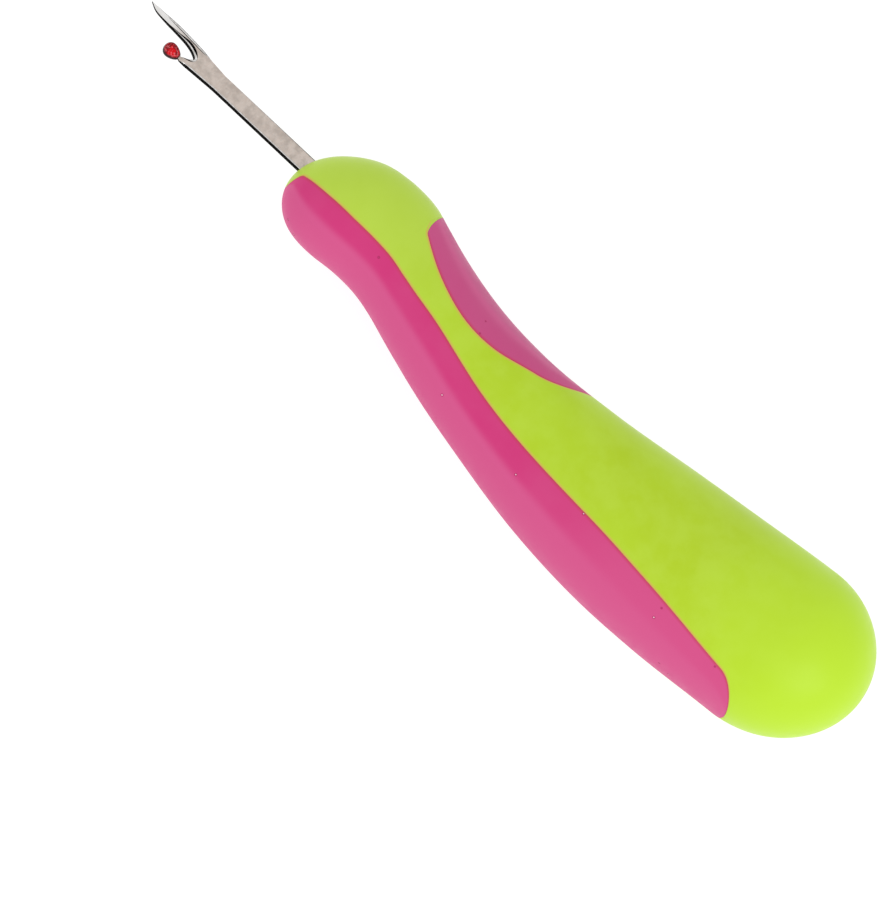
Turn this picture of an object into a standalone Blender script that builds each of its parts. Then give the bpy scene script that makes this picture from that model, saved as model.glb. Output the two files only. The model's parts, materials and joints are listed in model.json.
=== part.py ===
"""Seam ripper: a forked steel blade with a red safety bead, set in a curved two-colour handle.

The handle is moulded over the blade's tang in three shots: a rigid core, a green skin with two
windows, and a pink grip in each window. Lugs and pins moulded in one piece with the skin and the
grips reach into the core and lock the shots together.

Tool frame: the blade's centreline is the X axis, tip towards -X and butt towards +X, and X = 0 is
the front of the handle's nose. +Y is the forefinger's side and -Y the belly that the other fingers
hold. Z runs across the tool, which is the same on both sides of Z = 0. Every piece is drawn in this
frame, and one empty then lays the tool on its side on a table at Z = 0 of the world.
"""

import math

import bmesh
import bpy
import numpy as np
from mathutils import Vector

MM = 0.001

# Fits
SEAM = 0.3 * MM  # gap between the moulded pieces, and between the tang and what holds it
BEAD_SEAM = 0.15 * MM  # radial gap between the prong's peg and the bead's socket

# Handle: outside
HANDLE_LENGTH = 105.2 * MM
HEAD_HALF = 8.25 * MM  # half heights of the head, of the neck behind it and of the butt
NECK_HALF = 8.05 * MM
BUTT_HALF = 12.85 * MM
ROUNDNESS = 0.92  # width of every cross-section over its height
NOSE_DEPTH = 10.5 * MM  # length over which the nose and the butt round off
BUTT_DEPTH = 14.2 * MM
SKIN = 2.6 * MM  # thickness of the green skin and of the pink grips

# Colour edges, as the half angle that each grip covers, in degrees
BELLY_FRONT = 0.6 * MM  # from the nose
BELLY_REAR = 12.4 * MM  # from the butt
FINGER_FRONT = 17.5 * MM  # from the nose
FINGER_REAR = 51.0 * MM
FINGER_LEAN = 1.5 * MM  # how far the finger grip's front edge lies further back on the ridge

# Blade
BLADE_REACH = 30.0 * MM  # from the nose to the long point
BLADE_THICKNESS = 1.25 * MM
SHANK_WIDTH = 2.46 * MM
POINT_THICKNESS = 0.35 * MM
POINT_TAPER = 8.0 * MM  # from the long point to where the long prong is full thickness
PRONG_TAPER = 9.0 * MM  # from the long point to where the short prong is
NOTCH_DEPTH = 9.95 * MM  # from the long point
NOTCH_BEVEL = 0.3 * MM  # ground width of the cutting edge in the notch
TANG_LENGTH = 20.5 * MM  # behind the nose
TANG_STEP = 0.1 * MM  # the tang is coined this much thinner on each face
TANG_FRONT = (-0.25 * MM, -0.2 * MM)  # the step between shank and tang, just outside the nose
SPADE_LENGTH = 4.5 * MM  # widened end that stops the tang pulling out
SPADE_WIDTH = 4.4 * MM
SPADE_SLOPE = 1.0 * MM  # length over which the tang widens into it
PEG_SIZE = 0.5 * MM  # square end of the short prong, inside the bead
PEG_LENGTH = 1.4 * MM
PEG_HEIGHT = -1.2 * MM  # of its centreline
SHOULDER = 7.75 * MM  # from the long point to where the short prong steps down to its peg

# Bead
BEAD_LENGTH = 2.7 * MM
BEAD_DIAMETER = 2.0 * MM

# Locks between the shots
PIN_DIAMETER = 3.4 * MM  # skin pins, right through the core
LUG_DIAMETER = 3.6 * MM  # grip lugs, into blind holes of the core
LUG_DEPTH = 3.2 * MM  # below the grip's underside

# How the tool settles on a table: flat on its side, nose down, on a narrow facet of the skin
NOSE_DOWN = math.radians(3.4)
REST_FACET = math.radians(20.0)  # angle that the facet spans

# How finely the curved pieces are divided
WELD = 0.001 * MM
SPACING = 3.0 * MM  # longest step along the handle
END_STEPS = 6  # steps round each rounded end
CORE_SIDES = 28
SKIN_COLUMNS = (5, 8)  # below and above the facet that the tool rests on
GRIP_COLUMNS = 8


def smooth_curve(points):
    """A function through the given (x, value) points, with a continuous slope."""
    xs, values = np.array(points, float).T
    slopes = np.gradient(values, xs)

    def at(x):
        i = int(np.clip(np.searchsorted(xs, x) - 1, 0, len(xs) - 2))
        width = xs[i + 1] - xs[i]
        t = (np.clip(x, xs[0], xs[-1]) - xs[i]) / width
        return float(
            values[i] * (1 + 2 * t) * (1 - t) ** 2
            + slopes[i] * width * t * (1 - t) ** 2
            + values[i + 1] * t * t * (3 - 2 * t)
            + slopes[i + 1] * width * t * t * (t - 1)
        )

    return at


def from_butt(distance):
    return HANDLE_LENGTH - distance


def handle_stations():
    """(x, height of the section's centre, half height before the ends round off), nose to butt."""
    swell = BUTT_HALF - NECK_HALF
    front = [
        (0.0, -2.15 * MM, HEAD_HALF),
        (3.4 * MM, -1.5 * MM, HEAD_HALF),
        (9.1 * MM, -0.3 * MM, HEAD_HALF),
        (14.0 * MM, 0.15 * MM, HEAD_HALF),
        (17.2 * MM, -0.1 * MM, (3 * HEAD_HALF + NECK_HALF) / 4),
        (20.5 * MM, -1.0 * MM, NECK_HALF),
        (24.0 * MM, -2.15 * MM, NECK_HALF),
        (33.5 * MM, -4.65 * MM, NECK_HALF + 0.07 * swell),
        (41.7 * MM, -5.9 * MM, NECK_HALF + 0.2 * swell),
    ]
    rear = [
        (from_butt(37.4 * MM), -6.2 * MM, NECK_HALF + 0.83 * swell),
        (from_butt(27.7 * MM), -5.4 * MM, NECK_HALF + 0.94 * swell),
        (from_butt(14.0 * MM), -3.9 * MM, BUTT_HALF),
        (from_butt(0.0), -3.0 * MM, BUTT_HALF),
    ]
    middle = ((front[-1][0] + rear[0][0]) / 2, -6.65 * MM, NECK_HALF + 0.54 * swell)
    return [*front, middle, *rear]


centre_height = smooth_curve([(x, centre) for x, centre, _ in handle_stations()])
full_half_height = smooth_curve([(x, half) for x, _, half in handle_stations()])

# Half angles that the grips cover, in degrees, before their ends round off
belly_cover = smooth_curve(
    [
        (0.0, 85),
        (5.4 * MM, 75.5),
        (12.4 * MM, 67.5),
        (19.4 * MM, 67),
        (27.9 * MM, 72),
        (40.4 * MM, 67),
        (from_butt(39.0 * MM), 60),
        (from_butt(26.0 * MM), 49.5),
        (from_butt(19.5 * MM), 42),
        (from_butt(BELLY_REAR), 34),
    ]
)
finger_cover = smooth_curve(
    [
        (FINGER_FRONT, 65),
        (22.0 * MM, 76),
        (26.0 * MM, 81),
        (29.9 * MM, 82.5),
        (35.8 * MM, 77),
        (42.3 * MM, 61.5),
        (FINGER_REAR, 46),
    ]
)


def rounded_end(distance, depth, power=2.0):
    """0 at an end, rising to 1 at that depth behind it, as a superellipse does."""
    share = min(max(distance / depth, 0.0), 1.0)
    return (1 - (1 - share) ** power) ** (1 / power)


def half_height(x):
    nose = rounded_end(x, NOSE_DEPTH)
    butt = rounded_end(HANDLE_LENGTH - x, BUTT_DEPTH)
    return full_half_height(x) * nose * butt


def on_surface(x, angle):
    """Point of the handle's surface: 90 degrees is the forefinger's ridge, and -90 the belly's."""
    half = half_height(x)
    return Vector(
        (
            x,
            centre_height(x) + half * math.sin(angle),
            half * ROUNDNESS * math.cos(angle),
        )
    )


def row_point(station, angle):
    """Point of the surface on a row: rows lean back towards the ridge at the finger grip's front."""
    near = 1 - min(abs(station - FINGER_FRONT) / (8.0 * MM), 1.0)
    lean = FINGER_LEAN * near * max(math.sin(angle), 0.0) ** 2
    return on_surface(station + lean, angle)


def outwards(point):
    """Unit normal of the handle's surface at one of its points, worked out from its formula."""
    step = 0.01 * MM
    low, high = max(point.x - step, 0.0), min(point.x + step, HANDLE_LENGTH)
    lean = (centre_height(high) - centre_height(low)) / (high - low)
    spread = (half_height(high) ** 2 - half_height(low) ** 2) / (high - low)
    above = point.y - centre_height(point.x)
    normal = Vector((-above * lean - spread / 2, above, point.z / ROUNDNESS**2))
    return normal.normalized()


def round_steps(start, depth):
    """Stations round an end, from its foremost point to that depth behind it, or ahead if negative."""
    turns = np.linspace(0.0, math.pi / 2, END_STEPS + 1)
    return [start + depth * (1 - math.cos(turn)) for turn in turns]


def filled(stations):
    """The stations in order, without near repeats, and with even steps in the long gaps."""
    ordered = sorted(stations)
    found = [ordered[0]]
    for station in ordered[1:]:
        gap = station - found[-1]
        if gap < 0.02 * MM:
            continue
        count = math.ceil(gap / SPACING)
        found += [found[-1] + gap * (k + 1) / count for k in range(count)]
    return found


class Grip:
    """Where a pink grip lies: its two ends, and the half angle that it covers between them."""

    def __init__(self, front, rear, cover, front_depth, rear_depth):
        self.front = front
        self.rear = rear
        self.cover = cover
        self.front_depth = front_depth
        self.rear_depth = rear_depth

    def half_angle(self, x, grow=0.0):
        """The half angle covered at x, with the whole outline grown by a distance."""
        from_front = x - (self.front - grow)
        from_rear = (self.rear + grow) - x
        if from_front <= 0 or from_rear <= 0:
            return 0.0
        ends = rounded_end(from_front, self.front_depth, 2.4)
        ends *= rounded_end(from_rear, self.rear_depth)
        wider = grow / max(half_height(x), SKIN)
        return max((math.radians(self.cover(x)) + wider) * ends, 0.0)

    def stations(self, grow=0.0):
        """Stations of its outline, grown by a distance, that follow its two rounded ends."""
        front = round_steps(self.front - grow, self.front_depth)
        rear = round_steps(self.rear + grow, -self.rear_depth)
        return front + rear


BELLY = Grip(BELLY_FRONT, from_butt(BELLY_REAR), belly_cover, 0.9 * MM, 5.0 * MM)
FINGER = Grip(FINGER_FRONT, FINGER_REAR, finger_cover, 1.4 * MM, 8.5 * MM)


def new_object(name, bm, material=None):
    mesh = bpy.data.meshes.new(name)
    bm.to_mesh(mesh)
    bm.free()
    obj = bpy.data.objects.new(name, mesh)
    bpy.context.scene.collection.objects.link(obj)
    obj.parent = bpy.data.objects["laid_on_table"]
    if material:
        mesh.materials.append(material)
        mesh.shade_smooth()
        mesh.set_sharp_from_angle(angle=math.radians(35))
    return obj


def new_cutter(name, bm):
    obj = new_object(name, bm)
    obj.hide_render = True
    obj.display_type = "WIRE"
    return obj


def boolean(obj, tool, operation):
    modifier = obj.modifiers.new(f"{operation.lower()}_{tool.name}", "BOOLEAN")
    modifier.operation = operation
    modifier.solver = "EXACT"
    modifier.object = tool


def new_material(name, colour, roughness, metallic=0.0):
    material = bpy.data.materials.new(name)
    material.use_nodes = True
    shader = material.node_tree.nodes["Principled BSDF"]
    shader.inputs["Base Color"].default_value = (*colour, 1.0)
    shader.inputs["Roughness"].default_value = roughness
    shader.inputs["Metallic"].default_value = metallic
    material.diffuse_color = (*colour, 1.0)
    return material


def face_outwards(bm):
    bm.normal_update()
    bmesh.ops.recalc_face_normals(bm, faces=bm.faces)
    bm.normal_update()


def wall(stations, angles_at):
    """Wall of the handle through the angles that angles_at(x) lists, on both sides, SKIN thick."""
    bm = bmesh.new()
    rows, columns = len(stations) - 1, len(angles_at(stations[0])) - 1
    bmesh.ops.create_grid(bm, x_segments=rows, y_segments=columns, size=1.0)
    for vert in bm.verts:
        x = stations[round((vert.co.x + 1) / 2 * rows)]
        vert.co = row_point(x, angles_at(x)[round((vert.co.y + 1) / 2 * columns)])
    bmesh.ops.mirror(bm, geom=bm.faces[:] + bm.edges[:] + bm.verts[:], axis="Z", merge_dist=WELD)
    bmesh.ops.remove_doubles(bm, verts=bm.verts, dist=WELD)
    bmesh.ops.dissolve_degenerate(bm, edges=bm.edges, dist=WELD)
    inner = bmesh.ops.extrude_face_region(bm, geom=bm.faces[:])
    for vert in inner["geom"]:
        if isinstance(vert, bmesh.types.BMVert):
            vert.co -= outwards(vert.co) * SKIN
    face_outwards(bm)
    return bm


def cylinder(radius, start, end, segments=20):
    """Closed cylinder from one point to another."""
    bm = bmesh.new()
    axis = Vector(end) - Vector(start)
    turn = axis.to_track_quat("Z", "Y").to_matrix().to_4x4()
    turn.translation = (Vector(start) + Vector(end)) / 2
    bmesh.ops.create_cone(
        bm,
        cap_ends=True,
        segments=segments,
        radius1=radius,
        radius2=radius,
        depth=axis.length,
        matrix=turn,
    )
    return bm


def box(low, high):
    """Closed box between two corners."""
    bm = bmesh.new()
    bmesh.ops.create_cube(bm, size=1.0)
    low, high = Vector(low), Vector(high)
    for vert in bm.verts:
        vert.co = low + (high - low) * (vert.co + Vector((0.5, 0.5, 0.5)))
    return bm


def pin_lines():
    """Start and end of each skin pin, which runs across the tool at the middle of the green side."""
    first, last = FINGER_REAR - 5.5 * MM, from_butt(27.0 * MM)
    lines = []
    for x in (first, (first + last) / 2, last):
        low = -math.pi / 2 + BELLY.half_angle(x)
        high = math.pi / 2 - FINGER.half_angle(x)
        angle = low + (high - low) / 2 if FINGER.half_angle(x) else low + math.radians(28)
        side = on_surface(x, angle)
        inside = side.z - SKIN / 2
        lines.append((Vector((x, side.y, -inside)), Vector((x, side.y, inside))))
    return lines


def lug_lines(stations, angle):
    """Start, inside the grip's wall, and end, inside the core, of each lug on a ridge of the handle."""
    lines = []
    for x in stations:
        ridge = on_surface(x, angle)
        inwards = Vector((0.0, -math.sin(angle), 0.0))
        lines.append((ridge + inwards * SKIN / 2, ridge + inwards * (SKIN + LUG_DEPTH)))
    return lines


def belly_lugs():
    last = from_butt(24.0 * MM)
    return lug_lines([27.0 * MM, (27.0 * MM + last) / 2, last], -math.pi / 2)


def finger_lugs():
    return lug_lines([FINGER_FRONT + 9.0 * MM, FINGER_FRONT + 22.0 * MM], math.pi / 2)


def grown(line, by):
    """A line lengthened at both ends."""
    start, end = line
    along = (end - start).normalized() * by
    return start - along, end + along


def handle_steps():
    """Stations along the whole handle, round its nose and its butt."""
    nose = round_steps(0.0, NOSE_DEPTH)
    butt = round_steps(HANDLE_LENGTH, -BUTT_DEPTH)
    return filled(nose + butt)


def make_core(material):
    """Rigid core: the handle's shape, one skin and one gap smaller, with holes for the locks."""
    bm = bmesh.new()
    rings = len(handle_steps())
    bmesh.ops.create_uvsphere(bm, u_segments=CORE_SIDES, v_segments=rings - 1, radius=1.0)
    for vert in bm.verts:
        ring = math.acos(min(max(vert.co.z, -1.0), 1.0)) / math.pi * (rings - 1)
        surface = on_surface(handle_steps()[round(ring)], math.atan2(vert.co.y, vert.co.x))
        vert.co = surface - outwards(surface) * (SKIN + SEAM)
    face_outwards(bm)
    core = new_object("handle_core", bm, material)
    for number, line in enumerate(pin_lines()):
        hole = cylinder(PIN_DIAMETER / 2 + SEAM, *grown(line, SKIN))
        boolean(core, new_cutter(f"cut_pin_{number}", hole), "DIFFERENCE")
    for number, (start, end) in enumerate(belly_lugs() + finger_lugs()):
        hole = cylinder(LUG_DIAMETER / 2 + SEAM, *grown((start, end), SEAM))
        boolean(core, new_cutter(f"cut_lug_{number}", hole), "DIFFERENCE")
    boolean(core, new_cutter("cut_tang", tang_room(-SKIN)), "DIFFERENCE")
    boolean(core, new_cutter("cut_spade", spade_room()), "DIFFERENCE")
    return core


def make_skin(material):
    """Green skin: the whole outside of the handle but for the two windows that the grips fill."""
    windows = BELLY.stations(SEAM / 2) + FINGER.stations(SEAM / 2)
    stations = filled(handle_steps() + windows)

    def angles_at(x):
        low = -math.pi / 2 + BELLY.half_angle(x, SEAM / 2)
        high = math.pi / 2 - FINGER.half_angle(x, SEAM / 2)
        facet_low = max(-REST_FACET / 2, low + (high - low) / 10)
        facet_high = min(REST_FACET / 2, high - (high - low) / 5)
        below, above = SKIN_COLUMNS
        lower = np.linspace(low, facet_low, below + 1)
        return [*lower, *np.linspace(facet_high, high, above + 1)]

    skin = new_object("handle_skin", wall(stations, angles_at), material)
    boolean(skin, new_cutter("cut_slot", tang_room(-SKIN)), "DIFFERENCE")
    for number, line in enumerate(pin_lines()):
        pin = new_cutter(f"add_pin_{number}", cylinder(PIN_DIAMETER / 2, *line))
        boolean(skin, pin, "UNION")
    return skin


def make_grip(name, grip, ridge, lugs, material):
    """Pink grip in its window, with its lugs. Ridge is -1 on the belly and 1 on the finger's side."""
    stations = filled(grip.stations(-SEAM / 2))

    def angles_at(x):
        covered = np.linspace(0.0, grip.half_angle(x, -SEAM / 2), GRIP_COLUMNS + 1)
        return ridge * (math.pi / 2 - covered)

    body = new_object(name, wall(stations, angles_at), material)
    for number, line in enumerate(lugs):
        lug = new_cutter(f"add_{name}_lug_{number}", cylinder(LUG_DIAMETER / 2, *line))
        boolean(body, lug, "UNION")
    return body


def tang_room(start):
    """Room for the tang and its gap, open towards the blade's point."""
    side = SHANK_WIDTH / 2 + SEAM
    face = BLADE_THICKNESS / 2 + SEAM
    return box((start, -side, -face), (TANG_LENGTH - SPADE_LENGTH, side, face))


def spade_room():
    side = SPADE_WIDTH / 2 + SEAM
    face = BLADE_THICKNESS / 2 - TANG_STEP + SEAM
    front = TANG_LENGTH - SPADE_LENGTH - SPADE_SLOPE - SEAM
    return box((front, -side, -face), (TANG_LENGTH + SEAM, side, face))


def through(points, steps):
    """Points of a smooth curve through the given ones, as a Catmull-Rom curve."""
    points = [Vector(p) for p in points]
    ends = [2 * points[0] - points[1], *points, 2 * points[-1] - points[-2]]
    found = [points[0]]
    for a, b, c, d in zip(ends, ends[1:], ends[2:], ends[3:]):
        for step in range(1, steps + 1):
            t = step / steps
            found.append(
                (
                    2 * b
                    + (c - a) * t
                    + (2 * a - 5 * b + 4 * c - d) * t * t
                    + (3 * b - a - 3 * c + d) * t * t * t
                )
                / 2
            )
    return found


def blade_outline():
    """(point, bevel) pairs round the blade's middle plane, and the point is sharp where bevel is."""
    tip = -BLADE_REACH
    half = SHANK_WIDTH / 2
    spade = SPADE_WIDTH / 2
    heel = TANG_LENGTH - SPADE_LENGTH
    shoulder = tip + SHOULDER
    peg_end = shoulder - PEG_LENGTH
    peg_low, peg_high = PEG_HEIGHT - PEG_SIZE / 2, PEG_HEIGHT + PEG_SIZE / 2
    back = through(
        [
            (tip + 14.1 * MM, half),
            (tip + 11.9 * MM, half + 0.22 * MM),
            (tip + 9.4 * MM, half + 0.58 * MM),
            (tip + 6.0 * MM, half + 0.79 * MM),
            (tip + 3.0 * MM, half + 0.84 * MM),
            (tip, half + 0.62 * MM),
        ],
        4,
    )
    notch = through(
        [
            (tip, half + 0.62 * MM),
            (tip + 1.2 * MM, 1.4 * MM),
            (tip + 3.4 * MM, 1.2 * MM),
            (tip + 5.5 * MM, 1.12 * MM),
            (tip + 7.3 * MM, 0.98 * MM),
            (tip + 9.0 * MM, 0.6 * MM),
            (tip + NOTCH_DEPTH, 0.1 * MM),
            (tip + 9.5 * MM, -0.45 * MM),
            (shoulder, peg_high + 0.05 * MM),
        ],
        4,
    )
    belly = through(
        [
            (shoulder, peg_low - 0.1 * MM),
            (tip + 9.8 * MM, -half - 0.22 * MM),
            (tip + 14.1 * MM, -half),
        ],
        4,
    )
    outline = [((TANG_LENGTH, spade), 0.0), ((heel, spade), 0.0), ((heel - SPADE_SLOPE, half), 0.0)]
    outline += [(tuple(p), 0.0) for p in back[:-1]]
    outline += [(tuple(p), NOTCH_BEVEL) for p in notch[:-1]]
    outline += [((shoulder, peg_high), 0.0), ((peg_end, peg_high), 0.0)]
    outline += [((peg_end, peg_low), 0.0), ((shoulder, peg_low), 0.0)]
    outline += [(tuple(p), 0.0) for p in belly]
    outline += [((heel - SPADE_SLOPE, -half), 0.0), ((heel, -spade), 0.0), ((TANG_LENGTH, -spade), 0.0)]
    return outline


def blade_half_thickness(x, y):
    """Full on the shank, coined on the tang, and tapered to the point and to the peg."""
    full = BLADE_THICKNESS / 2
    if x > (TANG_FRONT[0] + TANG_FRONT[1]) / 2:
        return full - TANG_STEP
    start, end, thin = (SHOULDER, PRONG_TAPER, PEG_SIZE / 2)
    if y > 0:
        start, end, thin = (0.0, POINT_TAPER, POINT_THICKNESS / 2)
    share = (x + BLADE_REACH - start) / (end - start)
    return thin + (full - thin) * min(max(share, 0.0), 1.0)


def make_blade(material):
    """Forked blade, shank and tang, one steel stamping with a ground cutting edge in the notch."""
    outline = blade_outline()
    count = len(outline)
    middle = [Vector((*point, 0.0)) for point, _ in outline]
    faces = []
    for number, (point, bevel) in enumerate(outline):
        along = middle[(number + 1) % count] - middle[number - 1]
        inwards = Vector((-along.y, along.x, 0.0)).normalized()
        faces.append(Vector((*point, 0.0)) + inwards * bevel)
    bm = bmesh.new()
    rings = []
    for side in (-1, 0, 1):
        ring = []
        for centre, face in zip(middle, faces):
            place = face if side else centre
            ring.append(bm.verts.new((place.x, place.y, side * BLADE_THICKNESS / 2)))
        rings.append(ring)
    for low, high in zip(rings, rings[1:]):
        for a in range(count):
            b = (a + 1) % count
            bm.faces.new((low[a], low[b], high[b], high[a]))
    bm.faces.new(rings[0][::-1])
    bm.faces.new(rings[-1])
    face_outwards(bm)
    heel = TANG_LENGTH - SPADE_LENGTH
    tapers = [SHOULDER, POINT_TAPER, PRONG_TAPER, NOTCH_DEPTH + 0.2 * MM]
    for x in [*TANG_FRONT, heel, *(taper - BLADE_REACH for taper in tapers)]:
        bmesh.ops.bisect_plane(
            bm,
            geom=bm.faces[:] + bm.edges[:] + bm.verts[:],
            dist=WELD,
            plane_co=(x, 0, 0),
            plane_no=(1, 0, 0),
        )
    for vert in bm.verts:
        if abs(vert.co.z) > WELD:
            height = blade_half_thickness(vert.co.x, vert.co.y)
            vert.co.z = math.copysign(height, vert.co.z)
    return new_object("blade", bm, material)


def make_bead(material):
    """Red safety bead on the short prong: a drop, fullest near its front."""
    bm = bmesh.new()
    bmesh.ops.create_uvsphere(bm, u_segments=20, v_segments=14, radius=1.0)
    rear = SHOULDER - BLADE_REACH - BEAD_SEAM
    for vert in bm.verts:
        along = vert.co.z  # -1 at the prong's end of the drop, 1 at its front
        fullness = BEAD_DIAMETER / 2 * (1.0 + 0.16 * along)
        vert.co = Vector(
            (
                rear - BEAD_LENGTH * (along + 1) / 2,
                PEG_HEIGHT + vert.co.y * fullness,
                vert.co.x * fullness,
            )
        )
    face_outwards(bm)
    bead = new_object("safety_bead", bm, material)
    socket_end = SHOULDER - BLADE_REACH - PEG_LENGTH - BEAD_SEAM
    radius = PEG_SIZE / 2 * math.sqrt(2) + BEAD_SEAM
    start = Vector((rear + BEAD_LENGTH, PEG_HEIGHT, 0.0))
    socket = cylinder(radius, start, Vector((socket_end, PEG_HEIGHT, 0.0)), 16)
    boolean(bead, new_cutter("cut_socket", socket), "DIFFERENCE")
    return bead


def lay_on_table(carrier, pieces):
    """Turns the tool onto its side and moves it so that it rests on Z = 0, centred on the origin."""
    carrier.rotation_euler = (0.0, -NOSE_DOWN, 0.0)
    bpy.context.view_layer.update()
    graph = bpy.context.evaluated_depsgraph_get()
    corners = []
    for piece in pieces:
        shown = piece.evaluated_get(graph)
        corners += [shown.matrix_world @ vert.co for vert in shown.data.vertices]
    low = Vector([min(c[k] for c in corners) for k in range(3)])
    high = Vector([max(c[k] for c in corners) for k in range(3)])
    carrier.location = (-(low.x + high.x) / 2, -(low.y + high.y) / 2, -low.z)


def main():
    for obj in list(bpy.data.objects):
        bpy.data.objects.remove(obj)
    carrier = bpy.data.objects.new("laid_on_table", None)
    bpy.context.scene.collection.objects.link(carrier)

    steel = new_material("ground_steel", (0.62, 0.58, 0.55), 0.35, 1.0)
    red = new_material("red_plastic", (0.72, 0.02, 0.03), 0.2)
    natural = new_material("core_plastic", (0.80, 0.79, 0.74), 0.5)
    green = new_material("lime_plastic", (0.46, 0.72, 0.05), 0.4)
    pink = new_material("magenta_rubber", (0.66, 0.07, 0.24), 0.45)

    pieces = [
        make_blade(steel),
        make_bead(red),
        make_core(natural),
        make_skin(green),
        make_grip("belly_grip", BELLY, -1, belly_lugs(), pink),
        make_grip("finger_grip", FINGER, 1, finger_lugs(), pink),
    ]
    lay_on_table(carrier, pieces)


main()
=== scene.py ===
"""Looks of a seam ripper: forked steel blade, red safety bead and a two-colour moulded handle.

Every piece is drawn in the tool's own axes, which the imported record's mounts give: X runs from the
blade towards the butt with X = 0 at the nose, Y points to the forefinger's side and Z across. The
mesh is then turned into the frame, where the tool lies on its side on the floor.
"""

import json
import logging
import math
from bisect import bisect_right
from dataclasses import dataclass, field
from enum import Enum
from typing import Any, Callable, Iterable, Sequence

import bmesh
import bpy
import numpy as np
from bpy.types import Material, Node, NodeSocket, NodeTree, Object
from mathutils import Matrix, Vector


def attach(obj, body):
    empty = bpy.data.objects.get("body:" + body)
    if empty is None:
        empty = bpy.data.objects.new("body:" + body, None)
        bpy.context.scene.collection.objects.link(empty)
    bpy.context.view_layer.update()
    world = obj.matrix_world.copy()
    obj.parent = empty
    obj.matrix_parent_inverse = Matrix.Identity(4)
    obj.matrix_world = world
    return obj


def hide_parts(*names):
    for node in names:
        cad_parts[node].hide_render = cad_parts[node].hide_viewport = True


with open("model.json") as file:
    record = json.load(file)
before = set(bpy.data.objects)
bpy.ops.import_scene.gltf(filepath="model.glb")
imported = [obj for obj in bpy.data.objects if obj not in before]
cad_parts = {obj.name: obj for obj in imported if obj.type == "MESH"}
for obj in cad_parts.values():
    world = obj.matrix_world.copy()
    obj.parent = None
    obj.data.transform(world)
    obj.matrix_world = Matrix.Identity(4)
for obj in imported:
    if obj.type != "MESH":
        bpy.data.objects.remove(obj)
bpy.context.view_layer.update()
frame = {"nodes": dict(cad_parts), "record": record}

LOG = logging.getLogger("seam_ripper")
MM = 0.001
WELD = 0.0005 * MM
HAIR = 0.0001 * MM
CREASE = math.radians(42)
ROOT = "root"

Colour = tuple[float, float, float]


class Slot(Enum):
    """The record's material slot names, handed over with the new pieces but not read."""

    BLADE = "blade_steel"
    BEAD = "bead_red"
    SKIN = "skin_green"
    GRIP = "grip_pink"


class Ridge(Enum):
    """The two ridges of the handle, as the sign of the surface angle at the ridge."""

    BELLY = -1
    FINGER = 1


def linear(red: int, green: int, blue: int) -> Colour:
    """Turns a display colour into scene-linear values.

    Args:
        red: Red, from 0 to 255.
        green: Green, from 0 to 255.
        blue: Blue, from 0 to 255.

    Returns:
        The linear colour.
    """

    def channel(value: int) -> float:
        """Undoes the display curve of one channel."""
        share = value / 255
        return share / 12.92 if share <= 0.04045 else ((share + 0.055) / 1.055) ** 2.4

    return channel(red), channel(green), channel(blue)


# Tool axes and small mesh helpers


@dataclass(frozen=True)
class ToolAxes:
    """Where the tool lies in the frame."""

    origin: Vector
    along: Vector
    forefinger: Vector
    across: Vector

    @classmethod
    def from_record(cls, record: dict[str, Any]) -> "ToolAxes":
        """Reads the axes from the blade's two mounts.

        Args:
            record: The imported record.

        Returns:
            The tool's axes in the frame.
        """
        mounts = {mount["name"]: mount for mount in record["mounts"]}
        along = -Vector(mounts["blade_root"]["axis"]).normalized()
        across = Vector(mounts["blade_face"]["axis"]).normalized()
        forefinger = across.cross(along).normalized()
        return cls(Vector(mounts["blade_root"]["pos_m"]), along, forefinger, along.cross(forefinger))

    @property
    def matrix(self) -> Matrix:
        """Matrix from the tool's axes to the frame."""
        turn = Matrix((self.along, self.forefinger, self.across)).transposed().to_4x4()
        return Matrix.Translation(self.origin) @ turn

    def direction(self, vector: Vector) -> Vector:
        """Turns a direction in the tool's axes into the frame."""
        return self.matrix.to_3x3() @ vector

    def point(self, vector: Vector) -> Vector:
        """Turns a point in the tool's axes into the frame."""
        return self.matrix @ vector


def face_outwards(bm: bmesh.types.BMesh) -> None:
    """Welds the doubles and turns every face outwards."""
    bmesh.ops.remove_doubles(bm, verts=bm.verts, dist=WELD)
    bmesh.ops.dissolve_degenerate(bm, edges=bm.edges, dist=WELD)
    bmesh.ops.recalc_face_normals(bm, faces=bm.faces)
    bm.normal_update()


def soften(bm: bmesh.types.BMesh, edges: Sequence[bmesh.types.BMEdge], radius: float, steps: int) -> None:
    """Rounds edges.

    Args:
        bm: The mesh.
        edges: The edges to round.
        radius: Width of the rounding.
        steps: Number of faces across it.
    """
    bmesh.ops.bevel(
        bm,
        geom=list(edges),
        offset=radius,
        offset_type="OFFSET",
        segments=steps,
        profile=0.5,
        affect="EDGES",
        clamp_overlap=True,
        material=-1,
    )


def sharp_edges(bm: bmesh.types.BMesh, angle: float) -> list[bmesh.types.BMEdge]:
    """Lists the edges that turn by more than an angle in radians."""
    bm.normal_update()
    return [edge for edge in bm.edges if len(edge.link_faces) == 2 and edge.calc_face_angle() > angle]


def smooth_step(low: float, high: float, value: float) -> float:
    """Rises smoothly from 0 at low to 1 at high."""
    share = min(max((value - low) / (high - low), 0.0), 1.0)
    return share * share * (3 - 2 * share)


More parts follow.
